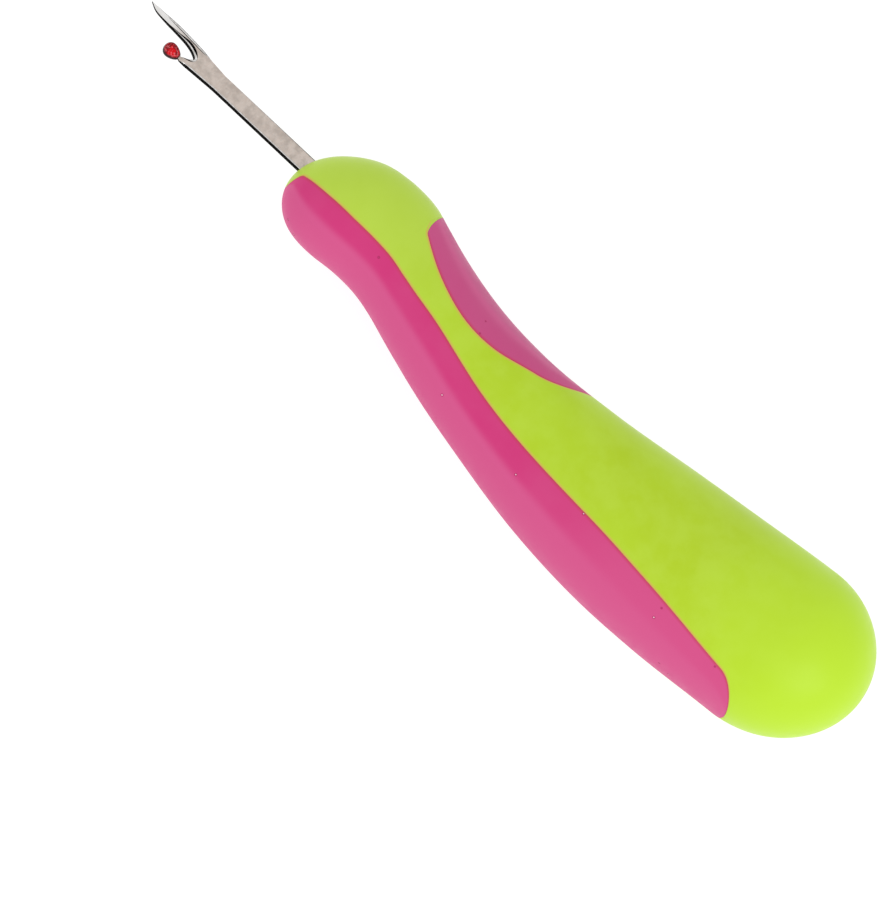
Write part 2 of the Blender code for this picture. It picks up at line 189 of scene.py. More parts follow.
def make_piece(name: str, bm: bmesh.types.BMesh, axes: ToolAxes, materials: Sequence[Material]) -> Object:
    """Turns a mesh drawn in the tool's axes into a finished object of the frame.

    Args:
        name: The object's name.
        bm: The mesh, which is freed.
        axes: The tool's axes.
        materials: The finishes, in the order of the faces' material numbers.

    Returns:
        The object, at the origin, with its place in its mesh.
    """
    bm.transform(axes.matrix)
    mesh = bpy.data.meshes.new(name)
    bm.to_mesh(mesh)
    bm.free()
    for material in materials:
        mesh.materials.append(material)
    mesh.shade_smooth()
    mesh.set_sharp_from_angle(angle=CREASE)
    piece = bpy.data.objects.new(name, mesh)
    bpy.context.scene.collection.objects.link(piece)
    return piece


def carve(piece: Object, cutter_mesh: bmesh.types.BMesh, axes: ToolAxes) -> None:
    """Cuts a closed shape, drawn in the tool's axes, out of a piece and keeps the result.

    Args:
        piece: The piece to cut.
        cutter_mesh: The closed shape, which is freed.
        axes: The tool's axes.
    """
    cutter = make_piece(f"{piece.name}_cutter", cutter_mesh, axes, [])
    modifier = piece.modifiers.new("cut", "BOOLEAN")
    modifier.operation = "DIFFERENCE"
    modifier.solver = "EXACT"
    modifier.object = cutter
    bpy.context.view_layer.update()
    graph = bpy.context.evaluated_depsgraph_get()
    result = bpy.data.meshes.new_from_object(piece.evaluated_get(graph), depsgraph=graph)
    piece.modifiers.clear()
    old, name = piece.data, piece.data.name
    piece.data = result
    bpy.data.meshes.remove(old)
    result.name = name
    bpy.data.objects.remove(cutter)


def write_attribute(piece: Object, axes: ToolAxes, name: str, value_at: Callable[[Vector], float]) -> None:
    """Stores a value on every point of a piece, for its finish to read.

    Args:
        piece: The piece.
        axes: The tool's axes.
        name: The attribute's name.
        value_at: Gives the value at a point in the tool's axes.
    """
    back = axes.matrix.inverted()
    values = [value_at(back @ vert.co) for vert in piece.data.vertices]
    attribute = piece.data.attributes.new(name, "FLOAT", "POINT")
    attribute.data.foreach_set("value", values)


def hand_over(piece: Object, node: str, slot: Slot) -> None:
    """Puts a finished piece in the place of its CAD node.

    Args:
        piece: The finished piece.
        node: The CAD node that it stands for.
        slot: The record's material slot; not used.
    """
    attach(piece, ROOT)
    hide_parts(node)
    LOG.info("%s: %d faces, stands for %s", piece.name, len(piece.data.polygons), node)


# Shader helpers and shared effects


class Shader:
    """A node tree, with short calls that add nodes and join them."""

    def __init__(self, tree: NodeTree) -> None:
        """Starts on a tree."""
        self.tree = tree

    def node(self, kind: str, **settings: Any) -> Node:
        """Adds a node.

        Args:
            kind: The node's type name.
            **settings: Properties of the node.

        Returns:
            The node.
        """
        made = self.tree.nodes.new(kind)
        for name, value in settings.items():
            setattr(made, name, value)
        return made

    def feed(self, socket: NodeSocket, value: NodeSocket | float | Sequence[float]) -> None:
        """Joins a socket to another one, or sets its value.

        Args:
            socket: The input.
            value: An output to join it to, or a plain value.
        """
        if isinstance(value, NodeSocket):
            self.tree.links.new(value, socket)
        elif isinstance(value, (int, float)):
            socket.default_value = value
        else:
            socket.default_value = (*value, 1.0) if socket.type == "RGBA" and len(value) == 3 else value

    def maths(self, operation: str, *values: NodeSocket | float, clamp: bool = False) -> NodeSocket:
        """Adds a Math node and returns its result."""
        made = self.node("ShaderNodeMath", operation=operation, use_clamp=clamp)
        for socket, value in zip(made.inputs, values):
            self.feed(socket, value)
        return made.outputs[0]

    def remap(self, value: NodeSocket, low: float, high: float, to_low: float, to_high: float) -> NodeSocket:
        """Maps a value smoothly and clamped from the range low to high onto to_low to to_high."""
        made = self.node("ShaderNodeMapRange", interpolation_type="SMOOTHSTEP")
        for socket, given in zip(made.inputs, (value, low, high, to_low, to_high)):
            self.feed(socket, given)
        return made.outputs["Result"]

    def mix(self, share: NodeSocket | float, first: Any, second: Any, blend: str = "MIX") -> NodeSocket:
        """Adds a colour Mix node and returns its result."""
        made = self.node("ShaderNodeMix", data_type="RGBA", blend_type=blend)
        self.feed(made.inputs["Factor"], share)
        self.feed(made.inputs[6], first)
        self.feed(made.inputs[7], second)
        return made.outputs[2]

    def noise(self, place: NodeSocket, scale: Any, detail: float, rough: float = 0.5) -> NodeSocket:
        """Adds a Noise texture and returns its value."""
        made = self.node("ShaderNodeTexNoise", noise_dimensions="3D")
        for name, value in (("Vector", place), ("Scale", scale), ("Detail", detail), ("Roughness", rough)):
            self.feed(made.inputs[name], value)
        return made.outputs["Fac"]

    def attribute(self, name: str) -> NodeSocket:
        """Reads a value stored on the piece."""
        return self.node("ShaderNodeAttribute", attribute_name=name).outputs["Fac"]

    def place(self) -> NodeSocket:
        """Object coordinates of the surface."""
        return self.node("ShaderNodeTexCoord").outputs["Object"]

    def effect(self, group: NodeTree, **inputs: Any) -> dict[str, NodeSocket]:
        """Places a shared effect and returns its outputs by name."""
        made = self.node("ShaderNodeGroup", node_tree=group)
        for name, value in inputs.items():
            self.feed(made.inputs[name.replace("_", " ")], value)
        return {socket.name: socket for socket in made.outputs}


def new_group(
    name: str, inputs: Iterable[tuple[str, str, Any]], outputs: Iterable[tuple[str, str]]
) -> Shader:
    """Starts a shared shader node group.

    Args:
        name: The group's name.
        inputs: Name, kind and default value of each input.
        outputs: Name and kind of each output.

    Returns:
        The group's tree, with its input and output nodes in place.
    """
    tree = bpy.data.node_groups.new(name, "ShaderNodeTree")
    for label, kind, value in inputs:
        socket = tree.interface.new_socket(name=label, in_out="INPUT", socket_type=f"NodeSocket{kind}")
        if value is not None:
            socket.default_value = value
    for label, kind in outputs:
        tree.interface.new_socket(name=label, in_out="OUTPUT", socket_type=f"NodeSocket{kind}")
    tree.nodes.new("NodeGroupInput")
    tree.nodes.new("NodeGroupOutput")
    return Shader(tree)


def ends_of(shader: Shader) -> tuple[Any, Any]:
    """The outputs of a group's input node and the inputs of its output node."""
    return shader.tree.nodes["Group Input"].outputs, shader.tree.nodes["Group Output"].inputs


def mould_grain_group() -> NodeTree:
    """Fine satin grain and soft cloudiness of a moulded surface.

    Returns:
        A group with outputs Height, for a bump, Cloud, a soft mask, and Sheen Break, a finer mask.
    """
    shader = new_group(
        "mould_grain",
        [("Place", "Vector", None), ("Grain Size", "Float", 0.0004), ("Cloud Size", "Float", 0.012)],
        [("Height", "Float"), ("Cloud", "Float"), ("Sheen Break", "Float")],
    )
    given, wanted = ends_of(shader)
    fine = shader.noise(given["Place"], shader.maths("DIVIDE", 1.0, given["Grain Size"]), 3.0, 0.6)
    cloud = shader.noise(given["Place"], shader.maths("DIVIDE", 1.0, given["Cloud Size"]), 3.0, 0.55)
    broken = shader.noise(given["Place"], shader.maths("DIVIDE", 3.5, given["Cloud Size"]), 4.0, 0.6)
    shader.feed(wanted["Height"], fine)
    shader.feed(wanted["Cloud"], shader.remap(cloud, 0.3, 0.7, 0.0, 1.0))
    shader.feed(wanted["Sheen Break"], shader.remap(broken, 0.3, 0.7, 0.0, 1.0))
    return shader.tree


def specks_group() -> NodeTree:
    """Small round specks, each with a ring round it.

    Returns:
        A group with outputs Speck and Ring, two masks.
    """
    shader = new_group(
        "moulded_specks",
        [("Place", "Vector", None), ("Spacing", "Float", 0.003), ("Radius", "Float", 0.00012)],
        [("Speck", "Float"), ("Ring", "Float")],
    )
    given, wanted = ends_of(shader)
    cells = shader.node("ShaderNodeTexVoronoi", voronoi_dimensions="3D", feature="F1")
    shader.feed(cells.inputs["Vector"], given["Place"])
    shader.feed(cells.inputs["Scale"], shader.maths("DIVIDE", 1.0, given["Spacing"]))
    away = shader.maths("MULTIPLY", cells.outputs["Distance"], given["Spacing"])
    share = shader.maths("DIVIDE", away, given["Radius"])
    shader.feed(wanted["Speck"], shader.remap(share, 0.6, 1.0, 1.0, 0.0))
    ring = shader.remap(share, 1.4, 2.2, 1.0, 0.0)
    shader.feed(wanted["Ring"], shader.maths("MULTIPLY", ring, shader.remap(share, 0.6, 1.0, 0.0, 1.0)))
    return shader.tree


def grind_marks_group() -> NodeTree:
    """Fine scratches of ground steel, and the uneven tarnish over them.

    Returns:
        A group with outputs Height, for a bump, Scratch and Tarnish, two masks.
    """
    shader = new_group(
        "grind_marks",
        [
            ("Place", "Vector", None),
            ("Turn", "Vector", (0.0, 0.0, 0.0)),
            ("Scratch Width", "Float", 0.00006),
            ("Blotch Size", "Float", 0.0012),
        ],
        [("Height", "Float"), ("Scratch", "Float"), ("Tarnish", "Float")],
    )
    given, wanted = ends_of(shader)
    turned = shader.node("ShaderNodeVectorRotate", rotation_type="EULER_XYZ")
    shader.feed(turned.inputs["Vector"], given["Place"])
    shader.feed(turned.inputs["Rotation"], given["Turn"])
    stretched = shader.node("ShaderNodeVectorMath", operation="MULTIPLY")
    shader.feed(stretched.inputs[0], turned.outputs[0])
    stretched.inputs[1].default_value = (1.0, 0.06, 1.0)
    closeness = shader.maths("DIVIDE", 1.0, given["Scratch Width"])
    scratch = shader.noise(stretched.outputs[0], closeness, 2.0, 0.7)
    blotch = shader.noise(given["Place"], shader.maths("DIVIDE", 1.0, given["Blotch Size"]), 4.0, 0.62)
    shader.feed(wanted["Height"], scratch)
    shader.feed(wanted["Scratch"], shader.remap(scratch, 0.35, 0.65, 0.0, 1.0))
    shader.feed(wanted["Tarnish"], shader.remap(blotch, 0.32, 0.68, 0.0, 1.0))
    return shader.tree


@dataclass(frozen=True)
class Effects:
    """The shared effects, built once, and the turn that lays grinding marks across the blade."""

    grain: NodeTree
    specks: NodeTree
    marks: NodeTree
    turn: Vector

    @classmethod
    def build(cls, axes: ToolAxes) -> "Effects":
        """Builds the three groups for a tool that lies along the given axes."""
        turn = Vector(axes.matrix.to_3x3().inverted().to_euler())
        return cls(mould_grain_group(), specks_group(), grind_marks_group(), turn)


class Coat(Shader):
    """A material being dressed, with its colour laid on in layers."""

    def __init__(self, name: str, **constants: float | Colour) -> None:
        """Starts a material.

        Args:
            name: The material's name.
            **constants: Plain values for the shader's sockets, with _ for each space.
        """
        self.material = bpy.data.materials.new(name)
        self.material.use_nodes = True
        super().__init__(self.material.node_tree)
        self.body = self.tree.nodes["Principled BSDF"]
        for label, value in constants.items():
            self.feed(self.body.inputs[label.replace("_", " ")], value)

    def paint(self, under: Colour, *layers: tuple[NodeSocket, float, Colour]) -> None:
        """Lays colours over each other.

        Args:
            under: The lowest colour.
            *layers: The mask, its share and the colour of each layer, from the lowest up.
        """
        colour: Any = under
        for mask, share, over in layers:
            shown = mask if share == 1.0 else self.maths("MULTIPLY", mask, share)
            colour = self.mix(shown, colour, over)
        self.feed(self.body.inputs["Base Color"], colour)

    def roughen(self, mask: NodeSocket, low: float, high: float) -> None:
        """Lets the roughness run from low to high as a mask goes from 0 to 1."""
        self.feed(self.body.inputs["Roughness"], self.remap(mask, 0.0, 1.0, low, high))

    def press(self, height: NodeSocket, depth: float, strength: float) -> None:
        """Presses a height pattern into the surface.

        Args:
            height: The pattern.
            depth: Depth of the pattern in metres.
            strength: Share of the effect.
        """
        made = self.node("ShaderNodeBump")
        for name, value in (("Height", height), ("Distance", depth), ("Strength", strength)):
            self.feed(made.inputs[name], value)
        self.feed(self.body.inputs["Normal"], made.outputs["Normal"])


# Finishes


@dataclass(frozen=True)
class LimePlastic:
    """Satin lime-green plastic of the handle's skin."""

    body: Colour = linear(183, 217, 50)
    pale: Colour = linear(192, 224, 80)
    deep: Colour = linear(179, 210, 40)
    # head is a paler tint painted as reflection near the nose, butt a brighter colour painted as light on
    # the butt.
    head: Colour = linear(185, 215, 80)
    butt: Colour = linear(190, 230, 50)
    seam: Colour = linear(210, 178, 88)
    roughness: float = 0.36
    grain: float = 0.35 * MM

    def material(self, effects: Effects) -> Material:
        """Builds the material.

        Args:
            effects: The shared effects.

        Returns:
            The material.
        """
        coat = Coat("lime_plastic", IOR=1.46, Specular_IOR_Level=0.2)
        place = coat.place()
        grain = coat.effect(effects.grain, Place=place, Grain_Size=self.grain, Cloud_Size=14 * MM)
        specks = coat.effect(effects.specks, Place=place, Spacing=5.5 * MM, Radius=0.1 * MM)
        stain = coat.remap(coat.attribute("seam_distance"), 0.0, 0.5, 0.95, 0.0)
        coat.paint(
            self.deep,
            (grain["Cloud"], 1.0, self.body),
            (grain["Sheen Break"], 0.35, self.pale),
            # Painted light: a paler reflection towards the nose and a brighter lit colour towards the butt.
            (coat.attribute("towards_nose"), 0.7, self.head),
            (coat.attribute("towards_butt"), 1.0, self.butt),
            (stain, 1.0, self.seam),
            # Painted shade: a darker ring round each speck.
            (specks["Ring"], 0.25, self.deep),
        )
        coat.roughen(grain["Sheen Break"], self.roughness - 0.04, self.roughness + 0.05)
        coat.press(coat.maths("MULTIPLY_ADD", specks["Speck"], 4.0, grain["Height"]), 0.02 * MM, 0.3)
        return coat.material


@dataclass(frozen=True)
class MagentaRubber:
    """Soft magenta rubber of the two grips, with a band of painted shade along the seams and a painted
    highlight streak beside it.
    """

    name: str
    # deep is painted shade for the band along the seams and streak a painted highlight; outer is the
    # rubber's paler colour away from them.
    deep: Colour = linear(209, 58, 123)
    outer: Colour = linear(213, 87, 140)
    streak: Colour = linear(217, 92, 146)
    seam: Colour = linear(198, 66, 88)
    speck: Colour = linear(244, 214, 226)
    # The ring round each speck is painted this darker colour as shade.
    ring_shade: Colour = linear(160, 34, 84)
    roughness: float = 0.46
    grain: float = 0.3 * MM

    def material(self, effects: Effects) -> Material:
        """Builds the material.

        Args:
            effects: The shared effects.

        Returns:
            The material.
        """
        coat = Coat(
            self.name,
            IOR=1.45,
            Specular_IOR_Level=0.12,
            Sheen_Weight=0.01,
            Sheen_Roughness=0.55,
            Sheen_Tint=(1.0, 0.82, 0.92),
        )
        place = coat.place()
        grain = coat.effect(effects.grain, Place=place, Grain_Size=self.grain, Cloud_Size=9 * MM)
        specks = coat.effect(effects.specks, Place=place, Spacing=3.4 * MM, Radius=0.13 * MM)
        stain = coat.remap(coat.attribute("seam_distance"), 0.0, 0.6, 0.75, 0.0)
        coat.paint(
            self.outer,
            # Painted shade along the seams, then a painted highlight streak.
            (coat.attribute("pressed"), 1.0, self.deep),
            (coat.attribute("worn_streak"), 1.0, self.streak),
            (grain["Cloud"], 0.3, self.outer),
            (stain, 1.0, self.seam),
            # Painted shade in the ring round each speck, then the pale specks.
            (specks["Ring"], 0.6, self.ring_shade),
            (specks["Speck"], 0.85, self.speck),
        )
        coat.roughen(grain["Sheen Break"], self.roughness - 0.05, self.roughness + 0.06)
        coat.press(coat.maths("MULTIPLY_ADD", specks["Ring"], -5.0, grain["Height"]), 0.02 * MM, 0.35)
        return coat.material


@dataclass(frozen=True)
class GroundSteel:
    """Ground flat faces of the blade, warm grey and slightly blotched."""

    bright: Colour = linear(232, 220, 211)
    dull: Colour = linear(200, 190, 182)
    warm: Colour = linear(216, 190, 172)
    polished: Colour = linear(252, 250, 248)
    roughness: float = 0.34

    def material(self, effects: Effects) -> Material:
        """Builds the material.

        Args:
            effects: The shared effects.

        Returns:
            The material.
        """
        coat = Coat("ground_steel", Metallic=1.0)
        marks = coat.effect(effects.marks, Place=coat.place(), Turn=effects.turn)
        coat.paint(
            self.dull,
            (marks["Tarnish"], 1.0, self.bright),
            (marks["Scratch"], 0.3, self.warm),
            (coat.attribute("towards_tip"), 1.0, self.polished),
        )
        coat.roughen(marks["Tarnish"], self.roughness + 0.08, self.roughness - 0.05)
        coat.press(marks["Height"], 0.004 * MM, 0.5)
        return coat.material


@dataclass(frozen=True)
class PaintedShadeEdge:
    """Sheared edges of the blade's stamping, painted near black as shade."""

    black: Colour = linear(3, 3, 3)
    brown: Colour = linear(14, 12, 11)
    roughness: float = 0.6

    def material(self, effects: Effects) -> Material:
        """Builds the material.

        Args:
            effects: The shared effects.

        Returns:
            The material.
        """
        coat = Coat("sheared_edge", IOR=1.3, Specular_IOR_Level=0.02)
        marks = coat.effect(effects.marks, Place=coat.place(), Turn=effects.turn, Blotch_Size=0.7 * MM)
        coat.paint(self.black, (marks["Tarnish"], 1.0, self.brown))
        coat.roughen(marks["Scratch"], self.roughness, self.roughness + 0.15)
        coat.press(marks["Height"], 0.006 * MM, 0.6)
        return coat.material


@dataclass(frozen=True)
class HonedEdge:
    """Bright honed bevel of the cutting edge in the notch."""

    bright: Colour = linear(252, 250, 248)
    dull: Colour = linear(214, 210, 206)
    roughness: float = 0.22
    scratch: float = 0.03 * MM

    def material(self, effects: Effects) -> Material:
        """Builds the material.

        Args:
            effects: The shared effects.

        Returns:
            The material.
        """
        coat = Coat("honed_edge", Metallic=1.0)
        sizes = {"Scratch_Width": self.scratch, "Blotch_Size": 0.5 * MM}
        marks = coat.effect(effects.marks, Place=coat.place(), Turn=effects.turn, **sizes)
        coat.paint(self.dull, (marks["Tarnish"], 1.0, self.bright))
        coat.roughen(marks["Scratch"], self.roughness, self.roughness + 0.12)
        coat.press(marks["Height"], 0.003 * MM, 0.4)
        return coat.material


@dataclass(frozen=True)
class GlossyBead:
    """Glossy red plastic of the safety bead, uneven in tone as dipped plastic is, with painted highlight
    patches and a rim painted dark as shade.
    """

    bright: Colour = linear(212, 10, 24)
    deep: Colour = linear(136, 1, 10)
    # A rim colour painted dark as shade and a pale colour for painted highlight patches.
    waist: Colour = linear(30, 1, 4)
    milky: Colour = linear(244, 132, 142)
    roughness: float = 0.14

    def material(self, effects: Effects) -> Material:
        """Builds the material.

        Args:
            effects: The shared effects.

        Returns:
            The material.
        """
        coat = Coat("glossy_bead", IOR=1.42, Specular_IOR_Level=0.18)
        sizes = {"Grain_Size": 0.9 * MM, "Cloud_Size": 1.1 * MM}
        grain = coat.effect(effects.grain, Place=coat.place(), **sizes)
        coat.paint(
            self.deep,
            (coat.remap(grain["Cloud"], 0.35, 0.65, 0.0, 1.0), 1.0, self.bright),
            # Pale painted highlight patches, then the rim painted dark as shade.
            (coat.remap(grain["Sheen Break"], 0.64, 0.8, 0.0, 0.5), 1.0, self.milky),
            (coat.attribute("waist"), 1.0, self.waist),
        )
        coat.roughen(grain["Sheen Break"], self.roughness - 0.03, self.roughness + 0.08)
        coat.press(grain["Height"], 0.02 * MM, 0.3)
        return coat.material


@dataclass(frozen=True)
class NaturalPlastic:
    """Uncoloured plastic of the hidden core."""

    milky: Colour = linear(226, 222, 208)
    yellowed: Colour = linear(212, 204, 182)

    def material(self, effects: Effects) -> Material:
        """Builds the material.

        Args:
            effects: The shared effects.

        Returns:
            The material.
        """
        coat = Coat("natural_plastic", IOR=1.49)
        sizes = {"Grain_Size": 0.5 * MM, "Cloud_Size": 8 * MM}
        grain = coat.effect(effects.grain, Place=coat.place(), **sizes)
        coat.paint(self.yellowed, (grain["Cloud"], 1.0, self.milky))
        coat.roughen(grain["Sheen Break"], 0.42, 0.55)
        coat.press(grain["Height"], 0.02 * MM, 0.4)
        return coat.material


# The handle's form


class SmoothCurve:
    """Cubic curve with a continuous slope through (station, value) points."""

    def __init__(self, points: Sequence[tuple[float, float]]) -> None:
        """Works out the slopes once."""
        xs, values = np.array(points, float).T
        self.xs: list[float] = xs.tolist()
        self.values: list[float] = values.tolist()
        self.slopes: list[float] = np.gradient(values, xs).tolist()

    def at(self, x: float) -> float:
        """Value of the curve at a station, held flat beyond its ends.

        Args:
            x: The station.

        Returns:
            The value there.
        """
        x = min(max(x, self.xs[0]), self.xs[-1])
        i = min(max(bisect_right(self.xs, x) - 1, 0), len(self.xs) - 2)
        width = self.xs[i + 1] - self.xs[i]
        t = (x - self.xs[i]) / width
        return (
            self.values[i] * (1 + 2 * t) * (1 - t) ** 2
            + self.slopes[i] * width * t * (1 - t) ** 2
            + self.values[i + 1] * t * t * (3 - 2 * t)
            + self.slopes[i + 1] * width * t * t * (t - 1)
        )


def rounded_end(distance: float, depth: float, power: float = 2.0) -> float:
    """Rises from 0 at an end to 1 at a depth behind it, as a superellipse does."""
    share = min(max(distance / depth, 0.0), 1.0)
    return (1 - (1 - share) ** power) ** (1 / power)


def round_steps(start: float, depth: float, count: int) -> list[float]:
    """Stations round an end, closer together where it turns faster."""
    turns = np.linspace(0.0, math.pi / 2, count + 1)
    return [start + depth * (1 - math.cos(turn)) for turn in turns]


@dataclass
class HandleForm:
    """Outside of the handle, in metres in the tool's axes."""

    length: float = 105.2 * MM
    head_half: float = 8.25 * MM
    neck_half: float = 8.05 * MM
    butt_half: float = 12.85 * MM
    roundness: float = 0.92
    nose_depth: float = 10.5 * MM
    butt_depth: float = 14.2 * MM
    wall: float = 2.6 * MM
    lean_at: float = 17.5 * MM
    lean: float = 1.5 * MM
    lean_reach: float = 8.0 * MM
    step: float = 0.6 * MM
    least_step: float = 0.004 * MM
    end_steps: int = 26
    rim: float = 0.05 * MM
    rim_angle: float = math.radians(60)
    centre: SmoothCurve = field(init=False)
    full_half: SmoothCurve = field(init=False)

    def __post_init__(self) -> None:
        """Builds the two curves that the sections follow."""
        stations = self.stations()
        self.centre = SmoothCurve([(x, height) for x, height, _ in stations])
        self.full_half = SmoothCurve([(x, half) for x, _, half in stations])

    def stations(self) -> list[tuple[float, float, float]]:
        """Lays out the main sections, from the nose to the butt.

        Returns:
            The station, the height of the centre and the half height of each section.
        """
        swell = self.butt_half - self.neck_half
        shoulder = (3 * self.head_half + self.neck_half) / 4
        front = [
            (0.0, -2.15 * MM, self.head_half),
            (3.4 * MM, -1.5 * MM, self.head_half),
            (9.1 * MM, -0.3 * MM, self.head_half),
            (14.0 * MM, 0.15 * MM, self.head_half),
            (17.2 * MM, -0.1 * MM, shoulder),
            (20.5 * MM, -1.0 * MM, self.neck_half),
            (24.0 * MM, -2.15 * MM, self.neck_half),
            (33.5 * MM, -4.65 * MM, self.neck_half + 0.07 * swell),
            (41.7 * MM, -5.9 * MM, self.neck_half + 0.2 * swell),
        ]
        rear = [
            (self.length - 37.4 * MM, -6.2 * MM, self.neck_half + 0.83 * swell),
            (self.length - 27.7 * MM, -5.4 * MM, self.neck_half + 0.94 * swell),
            (self.length - 14.0 * MM, -3.9 * MM, self.butt_half),
            (self.length, -3.0 * MM, self.butt_half),
        ]
        middle = ((front[-1][0] + rear[0][0]) / 2, -6.65 * MM, self.neck_half + 0.54 * swell)
        return [*front, middle, *rear]

    def half(self, x: float) -> float:
        """Half height of the section at a station."""
        nose = rounded_end(x, self.nose_depth)
        butt = rounded_end(self.length - x, self.butt_depth)
        return self.full_half.at(x) * nose * butt

    def surface(self, x: float, angle: float) -> Vector:
        """Point of the surface: 90 degrees is the forefinger's ridge and -90 the belly's."""
        half = self.half(x)
        height = self.centre.at(x) + half * math.sin(angle)
        return Vector((x, height, half * self.roundness * math.cos(angle)))

    def row_point(self, station: float, angle: float) -> Vector:
        """Point on a row, and rows lean back towards the ridge at the finger grip's front."""
        near = 1 - min(abs(station - self.lean_at) / self.lean_reach, 1.0)
        return self.surface(station + self.lean * near * max(math.sin(angle), 0.0) ** 2, angle)

    def normal(self, point: Vector) -> Vector:
        """Unit normal of the surface.

        Args:
            point: A point of the surface.

        Returns:
            The normal there.
        """
        nudge = 0.01 * MM
        low, high = max(point.x - nudge, 0.0), min(point.x + nudge, self.length)
        lean = (self.centre.at(high) - self.centre.at(low)) / (high - low)
        spread = (self.half(high) ** 2 - self.half(low) ** 2) / (high - low)
        above = point.y - self.centre.at(point.x)
        return Vector((-above * lean - spread / 2, above, point.z / self.roundness**2)).normalized()

    def angle_of(self, point: Vector) -> float:
        """Surface angle of a point, from the belly's ridge at -90 degrees to the forefinger's."""
        above = point.y - self.centre.at(point.x)
        return math.atan2(above, abs(point.z) / self.roundness)

    def rows(self, extra: Sequence[float] = (), low: float = 0.0, high: float | None = None) -> list[float]:
        """Stations of the rows between two ends.

        Args:
            extra: Stations that have to be among them.
            low: The first station.
            high: The last station, or the butt.

        Returns:
            The stations in order, no further apart than the step.
        """
        high = self.length if high is None else high
        ends = round_steps(0.0, self.nose_depth, self.end_steps)
        ends += round_steps(self.length, -self.butt_depth, self.end_steps)
        ordered = sorted({low, high, *(x for x in [*ends, *extra] if low < x < high)})
        found = [ordered[0]]
        for station in ordered[1:]:
            gap = station - found[-1]
            if gap < self.least_step:
                continue
            count = math.ceil(gap / self.step)
            found += [found[-1] + gap * (k + 1) / count for k in range(count)]
        return found

    def shell(
        self, rows: Sequence[float], angles_at: Callable[[float], Sequence[float]]
    ) -> bmesh.types.BMesh:
        """Closed wall over part of the handle, on both sides, one wall thickness deep.

        Args:
            rows: Stations of its rows.
            angles_at: Gives the surface angles of its columns at a station.

        Returns:
            The mesh, with its outer rims rounded.
        """
        bm = bmesh.new()
        last = len(rows) - 1
        columns = len(angles_at(rows[0])) - 1
        bmesh.ops.create_grid(bm, x_segments=last, y_segments=columns, size=1.0)
        angles = [angles_at(x) for x in rows]
        for vert in bm.verts:
            row = round((vert.co.x + 1) / 2 * last)
            column = round((vert.co.y + 1) / 2 * columns)
            vert.co = self.row_point(rows[row], angles[row][column])
        bmesh.ops.mirror(bm, geom=bm.faces[:] + bm.edges[:] + bm.verts[:], axis="Z", merge_dist=WELD)
        face_outwards(bm)
        inner = bmesh.ops.extrude_face_region(bm, geom=bm.faces[:])
        for vert in inner["geom"]:
            if isinstance(vert, bmesh.types.BMVert):
                vert.co -= self.normal(vert.co) * self.wall
        bmesh.ops.recalc_face_normals(bm, faces=bm.faces)
        soften(bm, sharp_edges(bm, self.rim_angle), self.rim, 2)
        bmesh.ops.remove_doubles(bm, verts=bm.verts, dist=HAIR)
        bmesh.ops.recalc_face_normals(bm, faces=bm.faces)
        return bm


@dataclass
class GripOutline:
    """Outline of a grip on the handle: its ends and the half angle that it covers."""

    form: HandleForm
    ridge: Ridge
    front: float
    rear: float
    cover: SmoothCurve
    front_depth: float
    rear_depth: float

    def half_angle(self, x: float, grow: float = 0.0) -> float:
        """Half angle covered at a station.

        Args:
            x: The station.
            grow: Distance that the whole outline is grown by.

        Returns:
            The half angle in radians, 0 beyond the grip's ends.
        """
        from_front = x - (self.front - grow)
        from_rear = (self.rear + grow) - x
        if from_front <= 0 or from_rear <= 0:
            return 0.0
        ends = rounded_end(from_front, self.front_depth, 2.4) * rounded_end(from_rear, self.rear_depth)
        wider = grow / max(self.form.half(x), self.form.wall)
        return max((math.radians(self.cover.at(x)) + wider) * ends, 0.0)

    def rows(self, grow: float = 0.0) -> list[float]:
        """Stations that follow the outline's two rounded ends."""
        front = round_steps(self.front - grow, self.front_depth, self.form.end_steps)
        return front + round_steps(self.rear + grow, -self.rear_depth, self.form.end_steps)

    def from_ridge(self, angle: float) -> float:
        """Angle between a surface angle and the grip's ridge."""
        return abs(self.ridge.value * math.pi / 2 - angle)

    def seam_distance(self, point: Vector) -> float:
        """Distance from a point of the handle to the outline.

        Args:
            point: The point.

        Returns:
            The distance in millimetres.
        """
        half = self.form.half(point.x)
        turned = self.from_ridge(self.form.angle_of(point))
        beyond = max(self.front - point.x, point.x - self.rear)
        if beyond > 0:
            return math.hypot(beyond, half * turned) / MM
        return half * abs(turned - self.half_angle(point.x)) / MM


def belly_outline(form: HandleForm) -> GripOutline:
    """Outline of the grip along the belly, from the nose nearly to the butt.

    Args:
        form: The handle's form.

    Returns:
        The outline.
    """
    rear = form.length - 12.4 * MM
    cover = SmoothCurve(
        [
            (0.0, 85),
            (5.4 * MM, 75.5),
            (12.4 * MM, 67.5),
            (19.4 * MM, 67),
            (27.9 * MM, 72),
            (40.4 * MM, 67),
            (form.length - 39.0 * MM, 60),
            (form.length - 26.0 * MM, 49.5),
            (form.length - 19.5 * MM, 42),
            (rear, 34),
        ]
    )
    return GripOutline(form, Ridge.BELLY, 0.4 * MM, rear, cover, 0.9 * MM, 5.0 * MM)


def finger_outline(form: HandleForm) -> GripOutline:
    """Outline of the short grip in the forefinger's hollow.

    Args:
        form: The handle's form.

    Returns:
        The outline.
    """
    front, rear = 17.5 * MM, 51.0 * MM
    cover = SmoothCurve(
        [
            (front, 65),
            (22.0 * MM, 76),
            (26.0 * MM, 81),
            (29.9 * MM, 82.5),
            (35.8 * MM, 77),
            (42.3 * MM, 61.5),
            (rear, 46),
        ]
    )
    return GripOutline(form, Ridge.FINGER, front, rear, cover, 1.4 * MM, 8.5 * MM)


